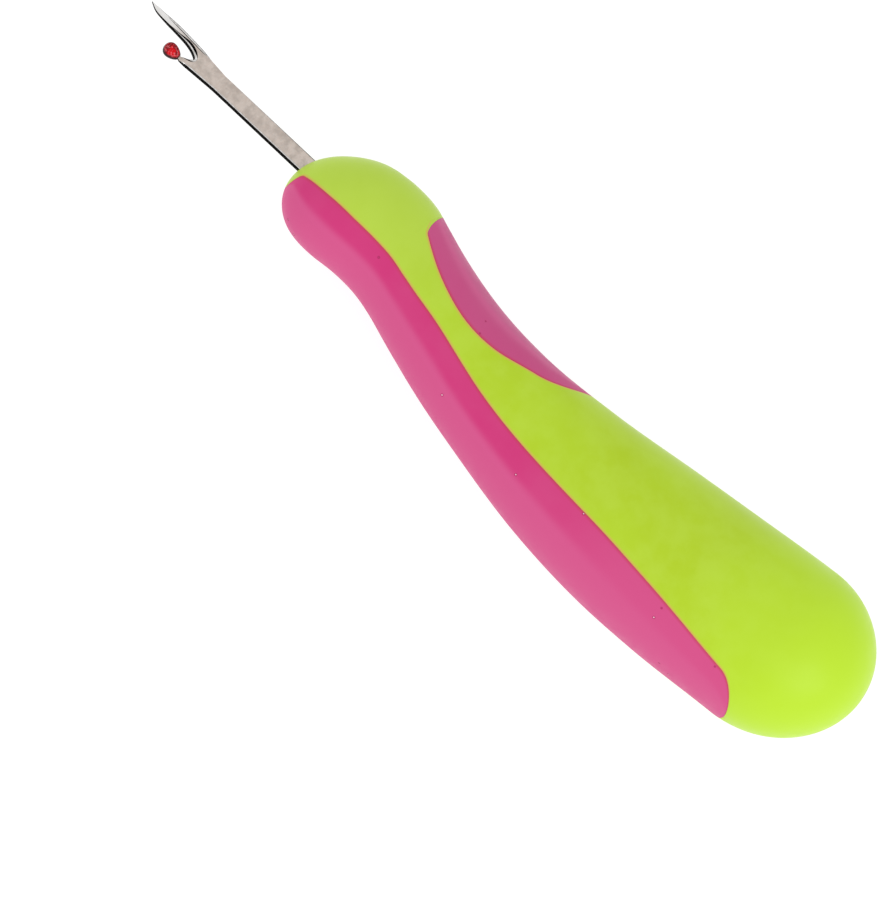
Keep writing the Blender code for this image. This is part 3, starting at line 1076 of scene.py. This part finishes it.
@dataclass
class Handle:
    """Handle: the green skin, the two grips in its windows, and the hidden core."""

    axes: ToolAxes
    form: HandleForm = field(default_factory=HandleForm)
    seam: float = 0.02 * MM
    # Where the skin's painted reflection near the nose and painted light at the butt fade.
    head_fade: tuple[float, float] = (12 * MM, 34 * MM)
    butt_fade: tuple[float, float] = (30 * MM, 4 * MM)
    # Extent and strength of the grips' painted shade band and painted highlight streak.
    dark_fade: tuple[float, float] = (46 * MM, 74 * MM)
    dark_edge: tuple[float, float] = (0.56, 0.74)
    dark_least: float = 0.25
    streak_at: float = 0.6
    streak_width: float = 0.06
    streak_strength: float = 0.35
    skin_columns: int = 54
    grip_columns: int = 36
    slot_half_width: float = 1.25 * MM
    slot_half_depth: float = 0.645 * MM
    slot_depth: float = 4.0 * MM

    def __post_init__(self) -> None:
        """Lays out the two grips."""
        self.belly = belly_outline(self.form)
        self.finger = finger_outline(self.form)

    def nearest_seam(self, point: Vector) -> float:
        """Distance in millimetres to the nearer of the two outlines."""
        return min(self.belly.seam_distance(point), self.finger.seam_distance(point))

    def build_skin(self, finish: Material) -> Object:
        """Models the green skin.

        Args:
            finish: Its material.

        Returns:
            The skin, with the slot that the blade comes out of and flat where the tool rests.
        """
        rows = self.form.rows(self.belly.rows(self.seam / 2) + self.finger.rows(self.seam / 2))

        def angles_at(x: float) -> Sequence[float]:
            """Angles of the columns between the two windows."""
            low = -math.pi / 2 + self.belly.half_angle(x, self.seam / 2)
            high = math.pi / 2 - self.finger.half_angle(x, self.seam / 2)
            return np.linspace(low, high, self.skin_columns + 1)

        skin = make_piece("green_skin", self.form.shell(rows, angles_at), self.axes, [finish])
        carve(skin, self.slot_cutter(), self.axes)
        skin.data.shade_smooth()
        skin.data.set_sharp_from_angle(angle=CREASE)
        for vert in skin.data.vertices:
            vert.co.z = max(vert.co.z, 0.0)
        write_attribute(skin, self.axes, "seam_distance", self.nearest_seam)
        # Masks for the skin's painted reflection near the nose and painted light at the butt.
        start, end = (self.form.length - distance for distance in self.butt_fade)
        write_attribute(skin, self.axes, "towards_butt", lambda p: smooth_step(start, end, p.x))
        write_attribute(skin, self.axes, "towards_nose", lambda p: 1 - smooth_step(*self.head_fade, p.x))
        return skin

    def slot_cutter(self) -> bmesh.types.BMesh:
        """Closed box of the room that the blade takes in the nose."""
        bm = bmesh.new()
        bmesh.ops.create_cube(bm, size=2.0)
        half = Vector((self.slot_depth, self.slot_half_width, self.slot_half_depth))
        bmesh.ops.scale(bm, vec=half, verts=bm.verts)
        return bm

    def build_grip(self, name: str, outline: GripOutline, finish: Material) -> Object:
        """Models one grip in its window.

        Args:
            name: The piece's name.
            outline: The grip's outline.
            finish: Its material.

        Returns:
            The grip.
        """
        grow = -self.seam / 2
        rows = self.form.rows(outline.rows(grow), outline.front - grow, outline.rear + grow)

        def angles_at(x: float) -> Sequence[float]:
            """Angles of the columns from the grip's edge to its ridge."""
            reach = outline.half_angle(x, grow)
            return outline.ridge.value * (math.pi / 2 - np.linspace(0.0, reach, self.grip_columns + 1))

        grip = make_piece(name, self.form.shell(rows, angles_at), self.axes, [finish])
        write_attribute(grip, self.axes, "seam_distance", outline.seam_distance)

        def share_of(point: Vector) -> float:
            """Share of the way from the ridge to the seam."""
            reach = max(outline.half_angle(point.x), 0.02)
            return min(outline.from_ridge(self.form.angle_of(point)) / reach, 1.0)

        def fading(point: Vector) -> float:
            """1 near the nose, falling to 0 at the handle's middle."""
            return 1 - smooth_step(*self.dark_fade, point.x)

        def pressed(point: Vector) -> float:
            """Painted shade: a darker band along the seam."""
            strength = self.dark_least + (1 - self.dark_least) * fading(point)
            return smooth_step(*self.dark_edge, share_of(point)) * strength

        def worn_streak(point: Vector) -> float:
            """Painted highlight: a pale line where the band meets the outer face."""
            away = (share_of(point) - self.streak_at) / self.streak_width
            return self.streak_strength * fading(point) * math.exp(-(away**2))

        write_attribute(grip, self.axes, "pressed", pressed)
        write_attribute(grip, self.axes, "worn_streak", worn_streak)
        return grip

    def build(self, lime: Material, belly: Material, finger: Material) -> None:
        """Builds the skin and both grips and puts them in the place of their CAD nodes."""
        hand_over(self.build_skin(lime), "handle_skin", Slot.SKIN)
        hand_over(self.build_grip("belly_grip_rubber", self.belly, belly), "belly_grip", Slot.GRIP)
        hand_over(self.build_grip("finger_grip_rubber", self.finger, finger), "finger_grip", Slot.GRIP)


# The blade and its bead


def through(points: Sequence[tuple[float, ...]], steps: int) -> list[Vector]:
    """Points of a smooth Catmull-Rom curve.

    Args:
        points: The points that it passes through.
        steps: Number of steps between each pair.

    Returns:
        The points along it, ends included.
    """
    known = [Vector(p) for p in points]
    ends = [2 * known[0] - known[1], *known, 2 * known[-1] - known[-2]]
    found = [known[0]]
    for a, b, c, d in zip(ends, ends[1:], ends[2:], ends[3:]):
        for step in range(1, steps + 1):
            t = step / steps
            straight = 2 * b + (c - a) * t
            curved = (2 * a - 5 * b + 4 * c - d) * t * t + (3 * b - a - 3 * c + d) * t * t * t
            found.append((straight + curved) / 2)
    return found


def in_order(copies: Sequence[Any], originals: Sequence[Any]) -> list[Any]:
    """Sorts the points of an extruded copy like those that they were copied from."""
    places = {tuple(round(c / WELD) for c in vert.co): vert for vert in copies}
    return [places[tuple(round(c / WELD) for c in vert.co)] for vert in originals]


class Face(Enum):
    """Kinds of face on the blade, as material numbers."""

    FLAT = 0
    # Sides and thin lines painted near black as shade.
    SHEARED = 1
    HONED = 2


@dataclass
class Blade:
    """Forked blade with its shank and the tang inside the handle."""

    axes: ToolAxes
    reach: float = 30.0 * MM
    thickness: float = 1.25 * MM
    width: float = 2.46 * MM
    point_thickness: float = 0.5 * MM
    point_taper: float = 5.0 * MM
    prong_taper: float = 9.0 * MM
    notch_depth: float = 9.4 * MM
    land: float = 1.08 * MM
    lip: float = 0.06 * MM
    # Width of the line painted dark as shade where the tang slopes.
    back_line: float = 0.16 * MM
    arris: float = 0.2 * MM
    tang_length: float = 20.5 * MM
    tang_step: float = 0.1 * MM
    tang_front: float = 1.4 * MM
    spade_length: float = 4.5 * MM
    spade_width: float = 4.4 * MM
    spade_slope: float = 1.0 * MM
    peg: float = 0.5 * MM
    peg_length: float = 1.4 * MM
    peg_height: float = -1.2 * MM
    shoulder: float = 7.95 * MM
    corner: float = 0.03 * MM
    lip_height: float = 0.02 * MM
    least_bevel: float = 0.03 * MM
    cut_spacing: float = 1.0 * MM
    polish_from: float = 3.0 * MM
    polish_to: float = 8.0 * MM
    curve_steps: int = 10

    def outline(self) -> list[Vector]:
        """Lays out the points round the blade.

        Returns:
            The x and y of each point, and the widths of the bevel and of the line behind it painted dark as
            shade.
        """
        tip, half = -self.reach, self.width / 2
        spade, heel = self.spade_width / 2, self.tang_length - self.spade_length
        slope = heel - self.spade_slope
        shoulder = tip + self.shoulder
        peg_end = shoulder - self.peg_length
        peg_low, peg_high = self.peg_height - self.peg / 2, self.peg_height + self.peg / 2
        back = through(
            [
                (tip + 14.1 * MM, half, 0.0, 0.0),
                (tip + 11.9 * MM, half + 0.22 * MM, 0.0, 0.0),
                (tip + 10.6 * MM, half + 0.42 * MM, 0.12 * MM, 0.0),
                (tip + 9.4 * MM, half + 0.58 * MM, 0.26 * MM, 0.1 * MM),
                (tip + 6.0 * MM, half + 0.79 * MM, 0.28 * MM, 0.12 * MM),
                (tip + 3.6 * MM, half + 0.84 * MM, 0.22 * MM, 0.06 * MM),
                (tip + 2.4 * MM, half + 0.81 * MM, 0.1 * MM, 0.0),
                (tip - 0.17 * MM, half + 0.8 * MM, 0.0, 0.0),
            ],
            self.curve_steps,
        )
        notch = through(
            [
                (tip - 0.17 * MM, half + 0.8 * MM, 0.0, 0.0),
                (tip + 1.2 * MM, 1.42 * MM, 0.0, 0.0),
                (tip + 3.4 * MM, 1.2 * MM, 0.0, 0.02 * MM),
                (tip + 5.5 * MM, 1.1 * MM, 0.06 * MM, 0.12 * MM),
                (tip + 7.3 * MM, 0.92 * MM, 0.22 * MM, 0.32 * MM),
                (tip + 8.6 * MM, 0.56 * MM, 0.26 * MM, 0.32 * MM),
                (tip + self.notch_depth, 0.04 * MM, 0.36 * MM, 0.02 * MM),
                (tip + 9.0 * MM, -0.48 * MM, 0.12 * MM, 0.16 * MM),
                (shoulder, peg_high + 0.05 * MM, 0.0, 0.0),
            ],
            self.curve_steps,
        )
        belly = through(
            [
                (shoulder, peg_low - 0.1 * MM, 0.0, 0.0),
                (tip + 9.8 * MM, -half - 0.22 * MM, self.arris, 0.0),
                (tip + 14.1 * MM, -half, self.arris, 0.0),
            ],
            self.curve_steps,
        )
        end = self.tang_length
        top = [(end, spade, 0.0, 0.0), (heel, spade, 0.0, 0.0), (slope, half, 0.0, self.back_line)]
        peg = [(shoulder, peg_high), (peg_end, peg_high), (peg_end, peg_low), (shoulder, peg_low)]
        bottom = [(slope, -half, self.arris, 0.0), (heel, -spade, 0.0, 0.0), (end, -spade, 0.0, 0.0)]
        plain = [Vector((*point, 0.0, 0.0)) for point in peg]
        return [*map(Vector, top), *back[:-1], *notch[:-1], *plain, *belly, *map(Vector, bottom)]

    def thinned(self, x: float, y: float) -> float:
        """Thickness of the steel: less on the tang, and tapered to the point and the peg.

        Args:
            x: Station of a point.
            y: Its height.

        Returns:
            The share of the full thickness.
        """
        if x > self.tang_front:
            return 1 - 2 * self.tang_step / self.thickness
        start, end, thin = self.shoulder, self.prong_taper, self.peg
        if y > 0:
            start, end, thin = 0.0, self.point_taper, self.point_thickness
        share = min(max((x + self.reach - start) / (end - start), 0.0), 1.0)
        least = thin / self.thickness
        return least + (1 - least) * share

    def levels(self) -> list[tuple[float, Callable[[Vector], float], Face]]:
        """Lays out the rings of points from the lower flat to the upper one.

        Returns:
            The height of each ring, its inset at a point of the outline, and the kind of face below.
        """
        full, land = self.thickness / 2, self.land / 2
        drop, rise = full - self.corner, land + self.lip_height

        def keen(_point: Vector) -> float:
            """Inset of the land at the very edge."""
            return 0.0

        def lip(point: Vector) -> float:
            """Inset of the bevel's lower end, above a narrow arris painted dark as shade."""
            return min(self.lip, max(point.z, 0.0) / 3)

        def ground(point: Vector) -> float:
            """Inset of the bevel's upper end."""
            return max(point.z, 0.0)

        def behind_shade_line(point: Vector) -> float:
            """Inset of the flat face, behind the line painted dark as shade."""
            return max(point.z, 0.0) + max(point.w, 0.0)

        return [
            (-full, behind_shade_line, Face.FLAT),
            (-drop, ground, Face.SHEARED),
            (-rise, lip, Face.HONED),
            (-land, keen, Face.SHEARED),
            (land, keen, Face.SHEARED),
            (rise, lip, Face.SHEARED),
            (drop, ground, Face.HONED),
            (full, behind_shade_line, Face.SHEARED),
        ]

    def build_mesh(self) -> bmesh.types.BMesh:
        """Models the blade.

        Returns:
            The mesh, its faces numbered by kind.
        """
        outline = self.outline()
        count = len(outline)
        inwards = []
        for number in range(count):
            along = (outline[(number + 1) % count] - outline[number - 1]).xy
            inwards.append(Vector((-along.y, along.x)).normalized())

        def place(number: int, height: float, inset: Callable[[Vector], float]) -> Vector:
            """Place of one point of a ring."""
            at = outline[number].xy + inwards[number] * inset(outline[number])
            return Vector((at.x, at.y, height))

        levels = self.levels()
        bm = bmesh.new()
        ring = [bm.verts.new(place(number, *levels[0][:2])) for number in range(count)]
        cap = bm.faces.new(ring)
        for step, (height, inset, kind) in enumerate(levels[1:]):
            copied = bmesh.ops.extrude_face_region(bm, geom=[cap])["geom"]
            if step > 0:
                bmesh.ops.delete(bm, geom=[cap], context="FACES_ONLY")
            cap = next(item for item in copied if isinstance(item, bmesh.types.BMFace))
            ring = in_order([item for item in copied if isinstance(item, bmesh.types.BMVert)], ring)
            numbers = {vert: number for number, vert in enumerate(ring)}
            for vert, number in numbers.items():
                vert.co = place(number, height, inset)
            for edge in cap.edges:
                ground = max(outline[numbers[vert]].z for vert in edge.verts) > self.least_bevel
                wall = next(face for face in edge.link_faces if face is not cap)
                wall.material_index = kind.value if ground else Face.SHEARED.value
            cap.material_index = Face.FLAT.value
        self.split_for_tapers(bm)
        face_outwards(bm)
        return bm

    def split_for_tapers(self, bm: bmesh.types.BMesh) -> None:
        """Cuts the faces where the thickness changes and thins every point to suit."""
        count = round(self.prong_taper / self.cut_spacing)
        cuts = [number * self.cut_spacing - self.reach for number in range(1, count + 1)]
        for x in [*cuts, self.tang_front - 0.02 * MM, self.tang_front + 0.02 * MM]:
            everything = bm.faces[:] + bm.edges[:] + bm.verts[:]
            bmesh.ops.bisect_plane(bm, geom=everything, dist=WELD, plane_co=(x, 0, 0), plane_no=(1, 0, 0))
        for vert in bm.verts:
            vert.co.z *= self.thinned(vert.co.x, vert.co.y)

    def build(self, finishes: Sequence[Material]) -> None:
        """Builds the blade in the place of its CAD node."""
        blade = make_piece("forked_blade", self.build_mesh(), self.axes, finishes)
        start, end = self.polish_from - self.reach, self.polish_to - self.reach
        write_attribute(blade, self.axes, "towards_tip", lambda p: 1 - smooth_step(start, end, p.x))
        hand_over(blade, "blade", Slot.BLADE)


@dataclass
class SafetyBead:
    """Red bead on the blunt prong: a drop, fullest near its front."""

    axes: ToolAxes
    blade: Blade
    length: float = 2.75 * MM
    diameter: float = 2.1 * MM
    gap: float = 0.04 * MM
    fuller: float = 0.28
    mouth_wall: float = 0.06 * MM
    mouth_bevel: float = 0.03 * MM
    mouth_depth: float = 0.05 * MM
    rim_shade_fade: tuple[float, float] = (0.3, 0.72)
    rings: int = 30
    turns: int = 48

    def profile(self) -> list[tuple[float, float]]:
        """Lays out half a section, from the front round to the socket's mouth and into it.

        Returns:
            The distance behind the front and the radius of each point.
        """
        socket = self.blade.peg / 2 * math.sqrt(2) + self.gap
        found = []
        for turn in np.linspace(0.0, math.pi, self.rings + 1):
            along = math.cos(turn)
            radius = self.diameter / 2 * (1 + self.fuller * along) * math.sin(turn)
            behind = self.length * (1 - along) / 2
            if along < 0 and radius < socket + self.mouth_wall:
                break
            found.append((behind, radius))
        mouth = found[-1][0]
        bevel = self.mouth_bevel
        found += [(mouth + self.mouth_depth, socket + bevel), (mouth + bevel, socket)]
        depth = self.length - self.blade.peg_length - self.gap
        return [*found, (depth, socket), (depth, 0.0)]

    def build(self, finish: Material) -> None:
        """Builds the bead in the place of its CAD node."""
        bm = bmesh.new()
        front = -self.blade.reach + self.blade.shoulder - self.gap - self.length
        height = self.blade.peg_height
        points = [(front + behind, height + radius, 0.0) for behind, radius in self.profile()]
        verts = [bm.verts.new(point) for point in points]
        edges = [bm.edges.new(pair) for pair in zip(verts, verts[1:])]
        bmesh.ops.spin(
            bm,
            geom=verts + edges,
            cent=(front, height, 0.0),
            axis=(1.0, 0.0, 0.0),
            angle=math.tau,
            steps=self.turns,
            use_merge=True,
        )
        face_outwards(bm)
        bead = make_piece("red_bead", bm, self.axes, [finish])
        # Painted shade: the bead darkens near the tool's middle plane, round its outline as it lies.
        low, high = (share * self.diameter / 2 for share in self.rim_shade_fade)
        write_attribute(bead, self.axes, "waist", lambda p: 1 - smooth_step(low, high, abs(p.z)))
        hand_over(bead, "safety_bead", Slot.BEAD)


# The studio


@dataclass(frozen=True)
class Panel:
    """Soft square light panel, towards a mixture of the view's right, up and backward directions."""

    name: str
    towards: tuple[float, float, float]
    size: float
    away: float
    power: float


@dataclass
class Studio:
    """Plain pale light table, soft white surroundings and the camera."""

    axes: ToolAxes
    floor_half: float = 3.0
    distance: float = 1.2
    lens: float = 350.0
    tilt: float = math.radians(17.0)
    turn: float = math.radians(43.2)
    look_along: float = 40.43 * MM
    look_below: float = 16.15 * MM
    surroundings: float = 0.75
    floor_glow: float = 0.86
    floor_shades: tuple[float, float] = (0.25, 0.27)
    panels: tuple[Panel, ...] = (
        Panel("key_panel", (0.8, -0.95, 1.0), 0.55, 0.9, 2.4),
        Panel("bead_panel", (-0.8, 0.55, 0.9), 0.12, 0.8, 0.8),
    )

    def view_axes(self) -> tuple[Vector, Vector, Vector]:
        """Directions of the camera in the frame.

        Returns:
            Right, up and backward.
        """
        backward = Vector((0.0, -math.sin(self.tilt), math.cos(self.tilt)))
        above = Vector((0.0, math.cos(self.tilt), math.sin(self.tilt)))
        along = Vector((1.0, 0.0, 0.0))
        right = along * math.cos(self.turn) + above * math.sin(self.turn)
        up = above * math.cos(self.turn) - along * math.sin(self.turn)
        turned = [self.axes.direction(vector) for vector in (right, up, backward)]
        return turned[0], turned[1], turned[2]

    def build_camera(self) -> None:
        """Places the camera."""
        right, up, backward = self.view_axes()
        below = self.look_below
        target = Vector((self.look_along, -below * math.cos(self.tilt), -below * math.sin(self.tilt)))
        place = self.axes.point(target) + backward * self.distance
        camera = bpy.data.objects.new("camera", bpy.data.cameras.new("camera"))
        camera.data.lens = self.lens
        camera.data.sensor_width = 36.0
        camera.data.clip_end = 20.0
        turn = Matrix((right, up, backward)).transposed().to_4x4()
        camera.matrix_world = Matrix.Translation(place) @ turn
        bpy.context.scene.collection.objects.link(camera)
        bpy.context.scene.camera = camera

    def build_floor(self) -> None:
        """Lays the floor."""
        bm = bmesh.new()
        bmesh.ops.create_grid(bm, x_segments=2, y_segments=2, size=self.floor_half)
        mesh = bpy.data.meshes.new("floor")
        bm.to_mesh(mesh)
        bm.free()
        floor = bpy.data.objects.new("floor", mesh)
        bpy.context.scene.collection.objects.link(floor)
        coat = Coat(
            "light_table",
            Roughness=0.95,
            Specular_IOR_Level=0.0,
            Emission_Color=(1.0, 1.0, 1.0),
            Emission_Strength=self.floor_glow,
        )
        grey, pale = ((shade, shade, shade) for shade in self.floor_shades)
        coat.paint(grey, (coat.noise(coat.place(), 60.0, 2.0), 1.0, pale))
        mesh.materials.append(coat.material)

    def add_panel(self, panel: Panel) -> None:
        """Adds a light panel.

        Args:
            panel: The panel.
        """
        parts = zip(self.view_axes(), panel.towards)
        direction = sum((axis * share for axis, share in parts), Vector()).normalized()
        light = bpy.data.lights.new(panel.name, "AREA")
        light.shape = "SQUARE"
        light.size = panel.size
        light.energy = panel.power
        lamp = bpy.data.objects.new(panel.name, light)
        centre = self.axes.point(Vector((self.look_along, 0.0, 0.0)))
        turn = direction.to_track_quat("Z", "Y").to_matrix().to_4x4()
        lamp.matrix_world = Matrix.Translation(centre + direction * panel.away) @ turn
        bpy.context.scene.collection.objects.link(lamp)

    def build_light(self) -> None:
        """Sets the white surroundings and the panels."""
        world = bpy.data.worlds.new("white_studio")
        world.use_nodes = True
        background = world.node_tree.nodes["Background"]
        background.inputs["Color"].default_value = (1.0, 1.0, 1.0, 1.0)
        background.inputs["Strength"].default_value = self.surroundings
        bpy.context.scene.world = world
        bpy.context.scene.view_settings.view_transform = "Standard"
        for panel in self.panels:
            self.add_panel(panel)

    def build(self) -> None:
        """Builds the whole studio."""
        self.build_camera()
        self.build_floor()
        self.build_light()


def dress_core(material: Material) -> None:
    """Gives the hidden core, which stays as packed, its finish."""
    core = frame["nodes"]["handle_core"]
    for slot in core.material_slots:
        slot.material = material
    LOG.info("handle_core: kept, %d faces", len(core.data.polygons))


def main() -> None:
    """Builds the seam ripper's looks and the studio."""
    logging.basicConfig(level=logging.INFO, format="%(name)s: %(message)s")
    axes = ToolAxes.from_record(frame["record"])
    effects = Effects.build(axes)

    handle = Handle(axes)
    belly_rubber = MagentaRubber("belly_rubber")
    # The finger grip's colours are the same rubber painted paler and more lilac, as reflection on that side.
    finger_rubber = MagentaRubber("finger_rubber", deep=linear(199, 80, 132), outer=linear(200, 94, 140))
    handle.build(*(finish.material(effects) for finish in (LimePlastic(), belly_rubber, finger_rubber)))
    dress_core(NaturalPlastic().material(effects))

    blade = Blade(axes)
    steels = (GroundSteel(), PaintedShadeEdge(), HonedEdge())
    blade.build([steel.material(effects) for steel in steels])
    SafetyBead(axes, blade).build(GlossyBead().material(effects))

    Studio(axes).build()


if __name__ == "__main__":
    main()
